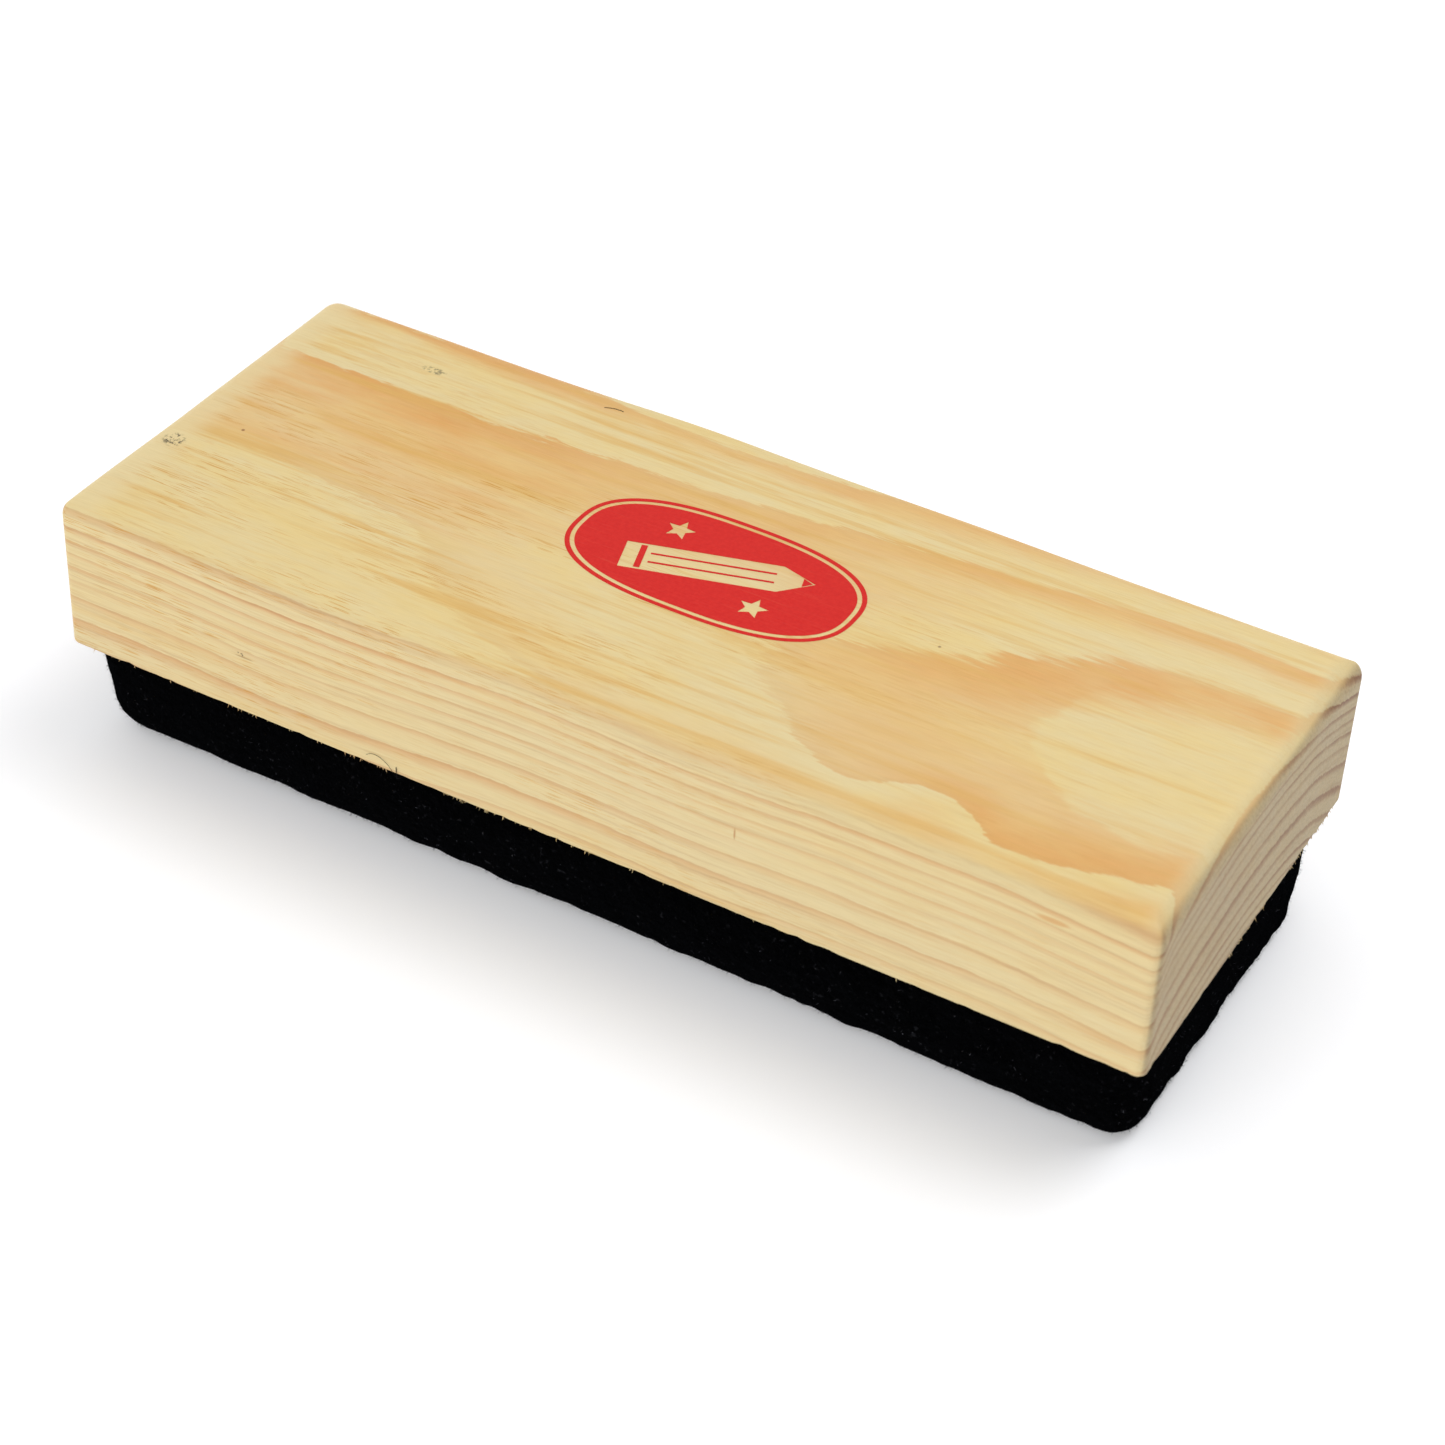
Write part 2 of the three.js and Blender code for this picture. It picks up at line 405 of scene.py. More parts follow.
def top_stain(shader, place, share):
    """How strongly latewood shows on the top, where the saw ran almost along a ring: as a broad stain."""
    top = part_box("handle_block")[1].z / MM
    x, y, z = shader.split(place)

    # it is widest in the middle of the right half, with a pale heart beyond, and uneven at the left
    wobble = shader.times(shader.noise(place, (7, 3.5, 3.5), 3.0, shift=55.0), 0.11)
    from_heart = shader.math("ADD", shader.away(place, (66.0, -2.5, top), (18.0, 15.0, 30.0)), wobble)
    soaked = shader.times(shader.smooth(x, 5.0, 15.0), shader.smooth(from_heart, 0.94, 1.1))
    lobes = shader.noise(place, (26, 3.6, 3.6), 2.0, shift=71.0)
    lobes = shader.times(lobes, shader.smooth(x, 0.0, -30.0, 0.0, 0.13))
    first = shader.smooth(soaked, 0.0, 1.0, 0.4, 0.08)
    full = shader.smooth(x, -10.0, -50.0, 0.86, 0.99)
    stain = shader.smooth(shader.math("ADD", share, lobes), first, full, 0.0, 0.95)
    stain = shader.times(stain, shader.smooth(soaked, 0.0, 1.0, 1.0, 0.84))

    # it is thin near the back edge
    thin_right = shader.times(shader.smooth(x, -20.0, 25.0), shader.smooth(y, 10.0, 17.0, 0.0, 1.0))
    thin_left = shader.times(shader.smooth(x, 10.0, -20.0), shader.smooth(y, 15.0, 20.0, 0.0, 2.0))
    stain = shader.math("POWER", stain, shader.sum(1.0, thin_right, thin_left))

    # it is weak in the middle of the back, at the right of the front edge, and sanded off at the front left
    drift = shader.times(shader.noise(place, (32, 2.4, 2.4), 3.0, 0.6, shift=51.0), 4.5)
    washed = shader.times(shader.smooth(x, 50.0, 10.0), shader.smooth(shader.sum(y, drift), 6.0, -13.0))
    washed = shader.times(washed, shader.smooth(z, top - 2.5, top - 1.0, 0.0, 0.85))
    middle = shader.times(shader.hill(x, -8.0, 38.0), shader.smooth(y, -2.0, 6.0, 0.0, 0.5))
    corner = shader.times(shader.smooth(x, 20.0, 50.0), shader.smooth(y, -26.0, -28.5, 0.0, 0.5))
    for weak in (washed, middle, corner):
        stain = shader.times(stain, shader.rest(weak))
    return stain


def side_bands(shader, place, share, end_grain):
    """How strongly latewood shows on the sides: as bands, palest at the right and under the top's left."""
    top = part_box("handle_block")[1].z / MM
    x, _, z = shader.split(place)
    band = shader.math("POWER", shader.smooth(share, 0.42, 0.97), 1.3)
    fading = shader.smooth(x, -40.0, 40.0, 0.95, 0.7)
    band = shader.times(band, shader.sum(fading, shader.times(end_grain, 0.3)))
    rim = shader.times(shader.smooth(z, top - 4.5, top - 2.5), shader.smooth(x, 10.0, -20.0, 0.0, 0.45))
    return shader.times(band, shader.rest(rim))


def pine_latewood(shader, place, rings, sideways, end_grain):
    """How strongly latewood stains each point, and how strongly a ring's dark outer edge does."""
    x, y, _ = shader.split(place)
    share = shader.math("FRACT", rings)

    # each ring has its own strength, and ends sharply except at the back right
    each = shader.add("TexWhiteNoise", noise_dimensions="1D")
    shader.join(shader.math("ADD", shader.math("FLOOR", rings), 0.5), each.inputs["W"])
    weakest = shader.smooth(sideways, 0.0, 1.0, 0.85, 0.3)
    strength = shader.linear(each.outputs["Value"], 0.0, 1.0, weakest, 1.0)
    blur = shader.times(shader.smooth(x, 15.0, 35.0), shader.smooth(y, -12.0, -2.0))
    edge = shader.smooth(share, 1.0, shader.smooth(blur, 0.0, 1.0, 0.975, 0.89))

    on_top = shader.times(top_stain(shader, place, share), shader.rest(sideways))
    on_sides = shader.times(side_bands(shader, place, share, end_grain), sideways)
    patchy = shader.smooth(shader.noise(place, (35, 9, 1.6), 2.0, shift=33.0), -1.3, 0.3, 0.55, 1.0)
    latewood = shader.times(shader.sum(on_top, on_sides), edge)
    latewood = shader.times(latewood, shader.times(strength, patchy))

    thin = shader.times(shader.smooth(share, 0.86, 0.96), shader.sum(0.05, shader.times(sideways, 0.1)))
    broad = shader.times(shader.smooth(share, 0.5, 0.95), shader.times(end_grain, patchy))
    broad = shader.times(broad, shader.smooth(y, -30.0, 20.0, 0.4, 0.85))
    line = shader.times(shader.sum(thin, broad), shader.times(edge, strength))
    return latewood, line


def pine_streaks(shader, place, colour, grain, level):
    """Adds yellow bands, fine grain and short ochre streaks, thickest at the left."""
    x, y, _ = shader.split(place)
    bands = shader.smooth(shader.noise(place, (40, 1.9, 1.9), 4.0, 0.6, shift=17.0), 0.0, 0.8)
    warm = shader.times(bands, shader.smooth(x, 50.0, -30.0, 0.45, 0.7))
    warm = shader.times(warm, shader.smooth(level, 0.0, 1.0, 0.25, 1.0))
    colour = shader.mix(warm, colour, tint(217, 172, 92))
    colour = shader.mix(shader.times(shader.smooth(grain, -0.2, 1.4), 0.24), colour, tint(202, 155, 88))
    streaks = shader.smooth(shader.noise(place, (4.5, 0.13, 0.13), 1.0, shift=21.0), 0.38, 0.6)
    thick = shader.smooth(shader.noise(place, (26, 7, 7), 2.0, shift=25.0), -0.5, 0.5)
    thick = shader.times(thick, shader.smooth(x, 60.0, -20.0, 0.2, 1.0))
    thick = shader.times(thick, shader.smooth(y, 8.0, 14.0, 1.0, 0.4))
    return shader.mix(shader.times(shader.times(streaks, thick), 0.85), colour, tint(206, 150, 62))


def pine_hatching(shader, place, colour, rings, sideways):
    """Adds fine lines along the rings, on the sides."""
    x, y, _ = shader.split(place)
    along = shader.add("CombineXYZ", shader.times(rings, 5.0), shader.times(x, 0.02), shader.times(y, 0.07))
    hatching = shader.smooth(shader.noise(along.outputs[0], (1, 1, 1), 3.0, 0.65, shift=61.0), -0.1, 1.1)
    hatching = shader.times(hatching, shader.smooth(sideways, 0.0, 1.0, 0.0, 0.34))
    return shader.mix(hatching, colour, tint(172, 124, 82))


def painted_end_highlights(shader, place, colour, mottle, level):
    """Paints a pale highlight on the top along the rounded edge at each end, most at the left."""
    x = shader.split(place)[0]
    rough_x = shader.math("ADD", x, shader.times(mottle, 0.6))
    left_highlight = shader.smooth(rough_x, -67.5, -72.0, 0.0, 0.75)
    right_highlight = shader.smooth(x, 71.0, 74.0, 0.0, 0.5)
    # the pale tint is a painted highlight, where the rounded end edges would catch the light
    return shader.mix(shader.times(shader.sum(left_highlight, right_highlight), level), colour, tint(226, 206, 156))


def pine_material():
    """Flat-sawn pine: pale earlywood, orange latewood with a sharp outer edge, and fine streaks."""
    shader = Shader("pine")
    place = shader.position_mm()
    facing = shader.split(shader.add("TexCoord").outputs["Normal"])
    end_grain = shader.smooth(shader.math("ABSOLUTE", facing[0]), 0.55, 0.9)
    sideways = shader.smooth(shader.math("ABSOLUTE", facing[2]), 0.9, 0.4)
    level = shader.rest(sideways)
    rings = pine_rings(shader, place)
    latewood, line = pine_latewood(shader, place, rings, sideways, end_grain)

    clouds = shader.noise(place, (40, 12, 12), 2.0, shift=14.0)
    mottle = shader.noise(place, (6, 2.2, 2.2), 3.0, 0.6, shift=15.0)
    grain = shader.noise(place, (9, 0.35, 0.35), 3.0, 0.6, shift=1.0)
    fibres = shader.noise(place, (3.5, 0.12, 0.12), 2.0, 0.5, shift=2.0)

    shade = shader.smooth(shader.sum(clouds, shader.times(mottle, 0.6)), -1.2, 1.2)
    colour = shader.mix(shade, tint(227, 202, 138), tint(224, 205, 155))
    colour = shader.mix(shader.times(sideways, 0.6), colour, tint(223, 203, 155))
    orange = shader.mix(sideways, tint(219, 156, 80), tint(210, 156, 102))
    blotches = shader.smooth(mottle, -1.0, 0.6, 0.82, 1.0)
    colour = shader.mix(shader.times(latewood, blotches), colour, orange)
    colour = shader.mix(line, colour, tint(140, 94, 58))
    colour = pine_streaks(shader, place, colour, grain, level)
    colour = pine_hatching(shader, place, colour, rings, sideways)
    colour = painted_end_highlights(shader, place, colour, mottle, level)
    lit = shader.linear(fibres, -1.0, 1.0, 0.955, 1.045)
    colour = shader.mix(1.0, colour, shader.add("CombineColor", lit, lit, lit).outputs[0], "MULTIPLY")
    colour = pine_marks(shader, place, colour)

    # the end faces are darkened: end grain is darker and greyer, and part of the darkening is painted shade
    # on the faces turned from the light
    pores_and_painted_shade = shader.smooth(shader.noise(place, (2.0, 0.3, 0.3), 2.0, shift=41.0), -0.5, 1.2, 0.715, 0.575)
    end_grain_and_painted_shade = shader.add("CombineColor", pores_and_painted_shade, shader.times(pores_and_painted_shade, 0.975), shader.times(pores_and_painted_shade, 1.04)).outputs[0]
    colour = shader.mix(end_grain, colour, shader.mix(1.0, colour, end_grain_and_painted_shade, "MULTIPLY"))

    relief = shader.sum(shader.times(latewood, 0.5), shader.times(fibres, 0.25), shader.times(grain, 0.25))
    normal = shader.bump(relief, 0.04 * MM, 0.6)
    roughness = shader.linear(grain, -1.0, 1.0, 0.5, 0.62)
    return shader.finish(colour, roughness, normal, Specular_IOR_Level=0.35)


def pine_marks(shader, place, colour):
    """Small faults in the wood: specks, a smudge, a resin nick, a tick and a gum spot."""
    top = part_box("handle_block")[1].z / MM
    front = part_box("handle_block")[0].y / MM
    strokes = shader.smooth(shader.noise(place, (0.35, 0.35, 0.35), 2.0, 0.6, shift=29.0), 0.0, 0.5)
    marks = (
        ((-71.0, -11.0, top), (1.8, 1.8, 1.5), strokes, 0.95, tint(66, 58, 40)),
        ((-52.5, 20.5, top), (2.2, 0.9, 1.0), strokes, 0.85, tint(104, 98, 70)),
        ((-65.0, -4.5, top), (0.3, 0.3, 0.3), 1.0, 0.8, tint(140, 84, 44)),
        ((31.0, 3.0, top), (0.25, 0.25, 0.3), 1.0, 0.7, tint(120, 86, 60)),
        ((-47.8, front, top - 12.8), (0.7, 1.0, 0.45), strokes, 0.95, tint(76, 54, 28)),
        ((-47.4, front, top - 13.2), (1.7, 1.0, 0.16), 1.0, 0.5, tint(150, 104, 60)),
        ((22.0, front, top - 10.0), (0.16, 1.0, 1.1), 1.0, 0.7, tint(184, 126, 70)),
        ((62.0, front, top - 4.3), (2.6, 1.5, 0.5), 1.0, 0.5, tint(208, 140, 66)),
    )
    for centre, reach, pattern, strength, stain in marks:
        inside = shader.smooth(shader.away(place, centre, reach), 1.0, 0.5)
        mask = shader.times(inside, shader.times(pattern, strength))
        colour = shader.mix(mask, colour, stain)
    return colour


def felt_material(name, level, sheen, glint):
    """Black fuzzy cloth: a matted surface that is almost black, with painted glints on a few fibres."""
    shader = Shader(name)
    place = shader.position_mm()
    clumps = shader.noise(place, (1.1, 1.1, 1.1), 3.0, 0.6, shift=4.0)
    fuzz = shader.noise(place, (0.16, 0.16, 0.16), 2.0, 0.7, shift=6.0)
    shade = shader.smooth(shader.sum(clumps, shader.times(fuzz, 0.7)), -1.2, 1.6, 0.35 * level, 1.5 * level)
    # painted glints: a few fibres made paler in colour, clumped by the tufts
    painted_glints = shader.smooth(shader.noise(place, (0.7, 0.7, 0.7), 1.0, shift=19.0), 0.55, 1.0, 0.0, glint)
    tufts = shader.noise(place, (9, 9, 9), 2.0, shift=23.0)
    painted_glints = shader.times(painted_glints, shader.smooth(tufts, -0.4, 0.6, 0.2, 1.0))
    shade = shader.math("ADD", shade, painted_glints)
    colour = shader.add("CombineColor", shade, shade, shader.times(shade, 1.15)).outputs[0]
    height = shader.sum(clumps, shader.times(fuzz, 0.35))
    normal = shader.bump(height, 0.25 * MM, 0.9)
    return shader.finish(
        colour, 1.0, normal, Specular_IOR_Level=0.0,
        Sheen_Weight=sheen, Sheen_Roughness=0.45, Sheen_Tint=(0.75, 0.82, 1.0, 1.0),
    )


def foam_material():
    """Grey open-cell foam, with small round cells."""
    shader = Shader("grey_foam")
    place = shader.position_mm()
    cells = shader.add("TexVoronoi", shader.stretched(place, (0.7, 0.7, 0.7)))
    cells.inputs["Scale"].default_value = 1.0
    depth = shader.smooth(cells.outputs["Distance"], 0.1, 0.75)
    tone = shader.noise(place, (12, 12, 12), 2.0)
    shade = shader.mix(shader.smooth(tone, -1, 1), tint(112, 114, 118), tint(128, 130, 133))
    colour = shader.mix(shader.times(depth, 0.6), tint(62, 63, 66), shade)
    return shader.finish(colour, 0.95, shader.bump(depth, 0.3 * MM, 0.8))


def glue_material():
    """Dry amber glue, brushed on unevenly."""
    shader = Shader("dry_glue")
    place = shader.position_mm()
    strokes = shader.noise(place, (18, 1.4, 1.4), 3.0, 0.6)
    bubbles = shader.noise(place, (0.9, 0.9, 0.9), 2.0, 0.5, shift=9.0)
    tone = shader.smooth(shader.sum(strokes, shader.times(bubbles, 0.4)), -1.2, 1.2)
    colour = shader.mix(tone, tint(196, 168, 96), tint(222, 201, 138))
    roughness = shader.linear(bubbles, -1.0, 1.0, 0.25, 0.5)
    return shader.finish(colour, roughness, shader.bump(tone, 0.15 * MM, 0.7))


def ink_material():
    """Red printing ink that has sunk unevenly into the grain."""
    shader = Shader("red_ink")
    place = shader.position_mm()
    mottle = shader.noise(place, (0.5, 0.5, 0.5), 3.0, 0.6)
    grain = shader.noise(place, (9, 0.35, 0.35), 3.0, 0.6, shift=1.0)
    colour = shader.mix(shader.smooth(mottle, -1.2, 1.4), tint(206, 18, 12), tint(216, 34, 24))
    colour = shader.mix(shader.times(shader.smooth(grain, 0.3, 1.4), 0.4), colour, tint(224, 84, 60))
    return shader.finish(colour, 0.5, shader.bump(grain, 0.02 * MM, 0.5), Specular_IOR_Level=0.2)


# ---------------------------------------------------------------- pine block


def pine_block():
    """The handle, with hand-sanded edges that wander a little, and crisp lower edges with small nicks."""
    low, high = (np.array(corner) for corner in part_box("handle_block"))
    half_length, half_width = high[0], high[1]

    def solid(points):
        worn = (points[:, 0] < 0) & (points[:, 1] > 0)
        plan = plan_distance(points, half_length, half_width, np.where(worn, WORN_RADIUS, UPRIGHT_RADIUS))
        top_radius = TOP_RADIUS * (1 + SANDING_WANDER * sway)
        above = rounded_join(plan, points[:, 2] - high[2], top_radius)
        below = rounded_join(plan, low[2] - points[:, 2], FOOT_RADIUS)
        return np.maximum(above, below)

    lines = [stations(low[k], high[k], BLOCK_CORE, *BLOCK_STEPS) for k in range(3)]
    points, quads = box_grid(*lines)
    sway = wander(points, SANDING_PITCH, seed=1)
    points = fit_to(points, low + BLOCK_CORE, high - BLOCK_CORE, solid)
    block = mesh_object("pine_block", points, quads.tolist())

    # the saw and the plane left small nicks along the lower edges
    near_foot = np.clip(1 - (points[:, 2] - low[2]) / (0.9 * MM), 0, 1)
    edge = np.clip(1 + plan_distance(points, half_length, half_width, UPRIGHT_RADIUS) / (1.2 * MM), 0, 1)
    nicks = np.clip(wander(points, (1.1 * MM, 1.1 * MM, 3 * MM), seed=3) - 0.25, 0, 1)
    depth = NICK_DEPTH * nicks * near_foot * edge
    set_points(block.data, points - normals_of(block.data) * depth[:, None])
    dress(block, pine_material(), stands_for="handle_block")
    return block


# ---------------------------------------------------------------- felt pad


def pad_solid(low, high, inset):
    """Signed distance to the pad's rest shape, set in by a depth on every side.

    The pad narrows downwards, and most at its corners, where the cloth is pulled in.
    """

    def solid(points):
        drop = np.clip((high[2] - points[:, 2]) / (high[2] - low[2]), 0, 1)
        left = -points[:, 0] / high[0]
        corner = PAD_CORNER_RADIUS - inset + (PAD_CORNER_DRAW + PAD_LEFT_SLACK[0] * left) * drop
        corner += PAD_SLACK_CORNER * ((points[:, 0] > 0) & (points[:, 1] > 0))
        plan = plan_distance(points, high[0] - inset, high[1] - inset, corner) + PAD_TAPER * drop
        rim = max(PAD_RIM_RADIUS - inset, 0.3 * MM)
        above = rounded_join(plan, points[:, 2] - high[2] + inset, rim)
        turn = PAD_FACE_RADIUS - inset + PAD_LEFT_SLACK[1] * left
        below = rounded_join(plan, low[2] + inset - points[:, 2], turn)
        return np.maximum(above, below)

    return solid


def swell(points, quads, glued):
    """Cloth simulation: how far each point moves when air fills the slack cover, held where it is glued."""
    piece = mesh_object("cloth", points, quads.tolist())
    group = piece.vertex_groups.new(name="glued")
    group.add(np.flatnonzero(glued).tolist(), 1.0, "REPLACE")
    cloth = piece.modifiers.new("cloth", "CLOTH")
    settings = cloth.settings
    settings.quality = 8
    settings.mass = 0.02
    settings.tension_stiffness = 12
    settings.compression_stiffness = 12
    settings.shear_stiffness = 4
    settings.bending_stiffness = 0.02
    settings.use_pressure = True
    settings.uniform_pressure_force = 1.0
    settings.vertex_group_mass = "glued"
    settings.effector_weights.gravity = 0
    cloth.collision_settings.use_collision = False
    cloth.point_cache.frame_end = PAD_FRAMES
    for frame_number in range(1, PAD_FRAMES + 1):
        bpy.context.scene.frame_set(frame_number)
    view = bpy.context.evaluated_depsgraph_get()
    move = points_of(piece.evaluated_get(view).data) - points
    bpy.data.objects.remove(piece)
    bpy.context.scene.frame_set(1)
    return move


def capped(move, outwards):
    """The cloth's movement, no further than its cap and never inwards."""
    size = np.linalg.norm(move, axis=1, keepdims=True)
    move = move * np.minimum(1, SWELL_CAP / np.maximum(size, 1e-9))
    return move - outwards * np.minimum((move * outwards).sum(1, keepdims=True), 0)


def felt_pad():
    """The felt cover: a hollow shell of cloth, swollen over its foam, with a hem round an open top."""
    middle, low, high = centred_box("felt_cover")
    lines = [np.linspace(a, b, round((b - a) / PAD_STEP) + 1) for a, b in zip(low, high)]
    grid, quads = box_grid(*lines)
    core = (low + PAD_CORE, high - PAD_CORE)
    outer = fit_to(grid, *core, pad_solid(low, high, 0))
    inner = fit_to(grid, *core, pad_solid(low, high, FELT_THICKNESS))
    glued = outer[:, 2] > high[2] - PAD_GLUED_DEPTH
    move = capped(swell(outer, quads, glued), unit(outer - inner))
    outer, inner = outer + move, inner + move
    outer[:, 2] = np.maximum(outer[:, 2], low[2])
    inner[:, 2] = np.maximum(inner[:, 2], low[2] + FELT_THICKNESS)

    # the hem leaves a window in the top, and its edge joins the outside of the cloth to the inside
    centres = grid[quads].mean(1)
    window = (centres[:, 2] > high[2] - 1e-6) & (np.abs(centres[:, 0]) < high[0] - HEM_WIDTH)
    window &= np.abs(centres[:, 1]) < high[1] - HEM_WIDTH
    kept = quads[~window]
    count = len(grid)
    hem_edge = [(b, a, a + count, b + count) for a, b in open_edges(kept)]
    faces = kept.tolist() + (kept[:, ::-1] + count).tolist() + hem_edge
    pad = mesh_object("felt_pad", np.concatenate([outer, inner]) + middle, faces)
    side = pad.data.attributes.new("outside", "FLOAT", "POINT")
    side.data.foreach_set("value", np.repeat([1.0, 0.0], count))
    subdivide(pad)

    # soft lumps on the outside, strongest at the right, die out towards the glued top
    points = points_of(pad.data)
    free = np.clip((high[2] - points[:, 2]) / (1.5 * MM), 0, 1) * is_outside(pad)
    lumps = sum(height * wander(points, pitch, seed) for seed, (height, pitch) in enumerate(PAD_LUMPS, 5))
    lumps *= 1.2 + 0.6 * points[:, 0] / high[0]
    points = points + normals_of(pad.data) * (lumps * free)[:, None]
    points[:, 2] = np.clip(points[:, 2], low[2], high[2])
    set_points(pad.data, points)
    dress(pad, felt_material("black_felt", 0.0007, 0.008, 0.012), stands_for="felt_cover")
    return pad


def is_outside(pad):
    """Whether each point of the pad is on the outside of its cloth."""
    value = np.empty(len(pad.data.vertices))
    pad.data.attributes["outside"].data.foreach_get("value", value)
    return value > 0.99


def open_edges(quads):
    """Edges that only one quad uses, in that quad's direction."""
    edges = np.concatenate([quads[:, [k, (k + 1) % 4]] for k in range(4)])
    forward = {tuple(edge) for edge in edges.tolist()}
    return [(a, b) for a, b in sorted(forward) if (b, a) not in forward]


def subdivide(piece):
    """Applies one level of subdivision surface to a piece's mesh."""
    modifier = piece.modifiers.new("subdivision", "SUBSURF")
    modifier.levels = 1
    view = bpy.context.evaluated_depsgraph_get()
    mesh = bpy.data.meshes.new_from_object(piece.evaluated_get(view))
    piece.modifiers.remove(modifier)
    piece.data = mesh


def foam_core():
    """The foam inside the felt, with a raised middle that fills the window in the hem."""
    middle, low, high = centred_box("foam_core")
    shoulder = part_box("hem_glue")[0].z - SEAT_GAP
    body_high = np.array([high[0], high[1], shoulder])
    lines = [stations(low[k], body_high[k], 3 * MM, *FOAM_STEPS) for k in range(3)]
    points, quads = box_grid(*lines)
    solid = pad_solid(low - FELT_THICKNESS, body_high + FELT_THICKNESS, FELT_THICKNESS + FOAM_GAP)
    points = fit_to(points, low + 4 * MM, body_high - 4 * MM, solid)
    window = centred_box("felt_cover")[2] - HEM_WIDTH - 0.5 * MM
    plan = plan_distance(points, window[0], window[1], 1.0 * MM)
    raised = (plan < 0) & (points[:, 2] > shoulder - 0.6 * MM)
    points[raised, 2] += high[2] - shoulder
    pits = np.abs(wander(points, 1.3 * MM, seed=8)) * 0.12 * MM
    inward = unit((low + high) / 2 - points)
    foam = mesh_object("foam_filling", points + inward * pits[:, None] + middle, quads.tolist())
    dress(foam, foam_material(), stands_for="foam_core")


# ---------------------------------------------------------------- loose fibres and splinters


def scatter(mesh, count, wanted, random):
    """Random places on a mesh, spread evenly by area over the triangles that wanted picks, with normals."""
    mesh.calc_loop_triangles()
    corners = np.empty(len(mesh.loop_triangles) * 3, int)
    mesh.loop_triangles.foreach_get("vertices", corners)
    corners = corners.reshape(-1, 3)
    places, normals = points_of(mesh)[corners], normals_of(mesh)[corners]
    chosen = wanted(places.mean(1), corners)
    places, normals = places[chosen], normals[chosen]
    area = np.linalg.norm(np.cross(places[:, 1] - places[:, 0], places[:, 2] - places[:, 0]), axis=1)
    pick = random.choice(len(places), count, p=area / area.sum())
    weights = random.dirichlet((1, 1, 1), count)[..., None]
    return (places[pick] * weights).sum(1), unit((normals[pick] * weights).sum(1))


def strands(name, roots, aims, bends, lengths, radius, material):
    """Thin three-sided strands, each closed, thickest at the root, with one bend and a sharp tip."""
    aside = unit(np.cross(aims, bends + 0.37))
    other = np.cross(aims, aside)
    spin = np.radians([0, 120, 240])
    ring = aside[:, None] * np.cos(spin)[:, None] + other[:, None] * np.sin(spin)[:, None]
    knee = roots + aims * (0.5 * lengths)[:, None]
    tips = knee + unit(aims + bends) * (0.5 * lengths)[:, None]
    thick = np.broadcast_to(radius, len(roots))[:, None, None]
    foot = (roots - aims * 0.08 * MM)[:, None] + ring * thick
    points = np.concatenate([foot, knee[:, None] + ring * thick * 0.8, tips[:, None]], 1)
    start = 7 * np.arange(len(roots))[:, None, None]
    base = np.array([[2, 1, 0]])
    walls = np.array([[k, (k + 1) % 3, 3 + (k + 1) % 3, 3 + k] for k in range(3)])
    caps = np.array([[3 + k, 3 + (k + 1) % 3, 6] for k in range(3)])
    faces = []
    for shape in (base, walls, caps):
        faces += (start + shape).reshape(-1, shape.shape[1]).tolist()
    piece = mesh_object(name, points.reshape(-1, 3), faces)
    dress(piece, material)
    return piece


def nap(pad):
    """The felt's fuzz: short matted fibres over its sides and over its wiping face."""
    pad_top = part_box("felt_cover")[1].z
    outside = is_outside(pad)
    material = felt_material("felt_fibres", 0.0016, 0.03, 0.3)
    face_top = 0.25 * MM
    zones = (
        ("felt_fuzz_sides", FUZZ_SIDES, 1.0, lambda z: (z > face_top) & (z < pad_top - 0.5 * MM)),
        ("felt_fuzz_face", FUZZ_FACE, 0.15, lambda z: z <= face_top),
    )
    for seed, (name, count, upright, zone) in enumerate(zones, 1):
        random = np.random.default_rng(seed)

        def wanted(places, corners):
            return zone(places[:, 2]) & outside[corners].all(1)

        roots, normals = scatter(pad.data, count, wanted, random)
        aims = unit(normals * 0.55 + random.normal(0, 0.55, (count, 3)))
        aims = unit(aims - normals * np.minimum((aims * normals).sum(1, keepdims=True) - 0.1, 0))
        aims[:, 2] *= upright
        bends = random.normal(0, 0.5, (count, 3)) * (1, 1, upright)
        lengths = random.uniform(*FUZZ_LENGTHS, count)
        fuzz = strands(name, roots, unit(aims), bends, lengths, FUZZ_RADIUS, material)
        points = points_of(fuzz.data)
        points[:, 2] = np.maximum(points[:, 2], 0.0)
        set_points(fuzz.data, points)


def splinters(block):
    """Torn wood fibres along the sawn lower edges of the block, thickest where the saw left the wood."""
    low, high = (np.array(corner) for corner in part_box("handle_block"))
    random = np.random.default_rng(7)
    roots, outs = [], []
    for side, count in ((-1, 110), (1, 40)):
        along = np.clip(random.normal(-0.2 * high[0], 0.35 * high[0], count), 0.95 * low[0], 0.95 * high[0])
        edge = np.stack([along, np.full(count, side * (high[1] - 0.1 * MM)), np.full(count, low[2])], 1)
        keep = noise_at(along, 5 * MM) > -0.1
        roots.append(edge[keep])
        outs.append(np.tile((0, side, 0), (keep.sum(), 1)))
    for side, count in ((-1, 25), (1, 60)):
        across = random.uniform(-0.2, 0.95, count) * high[1]
        edge = np.stack([np.full(count, side * (high[0] - 0.1 * MM)), across, np.full(count, low[2])], 1)
        roots.append(edge)
        outs.append(np.tile((side, 0, 0), (count, 1)))
    roots, outs = np.concatenate(roots), np.concatenate(outs)
    total = len(roots)
    roots[:, 2] += random.uniform(0.1, 0.3, total) * MM
    aims = unit(outs * 0.3 + random.normal(0, 0.4, (total, 3)) + (0, 0, -1.0))
    lengths = random.uniform(0.15, 0.55, total) * MM
    bends = random.normal(0, 0.3, (total, 3))
    radii = random.uniform(0.03, 0.08, total) * MM
    strands("edge_splinters", roots, aims, bends, lengths, radii, block.data.materials[0])


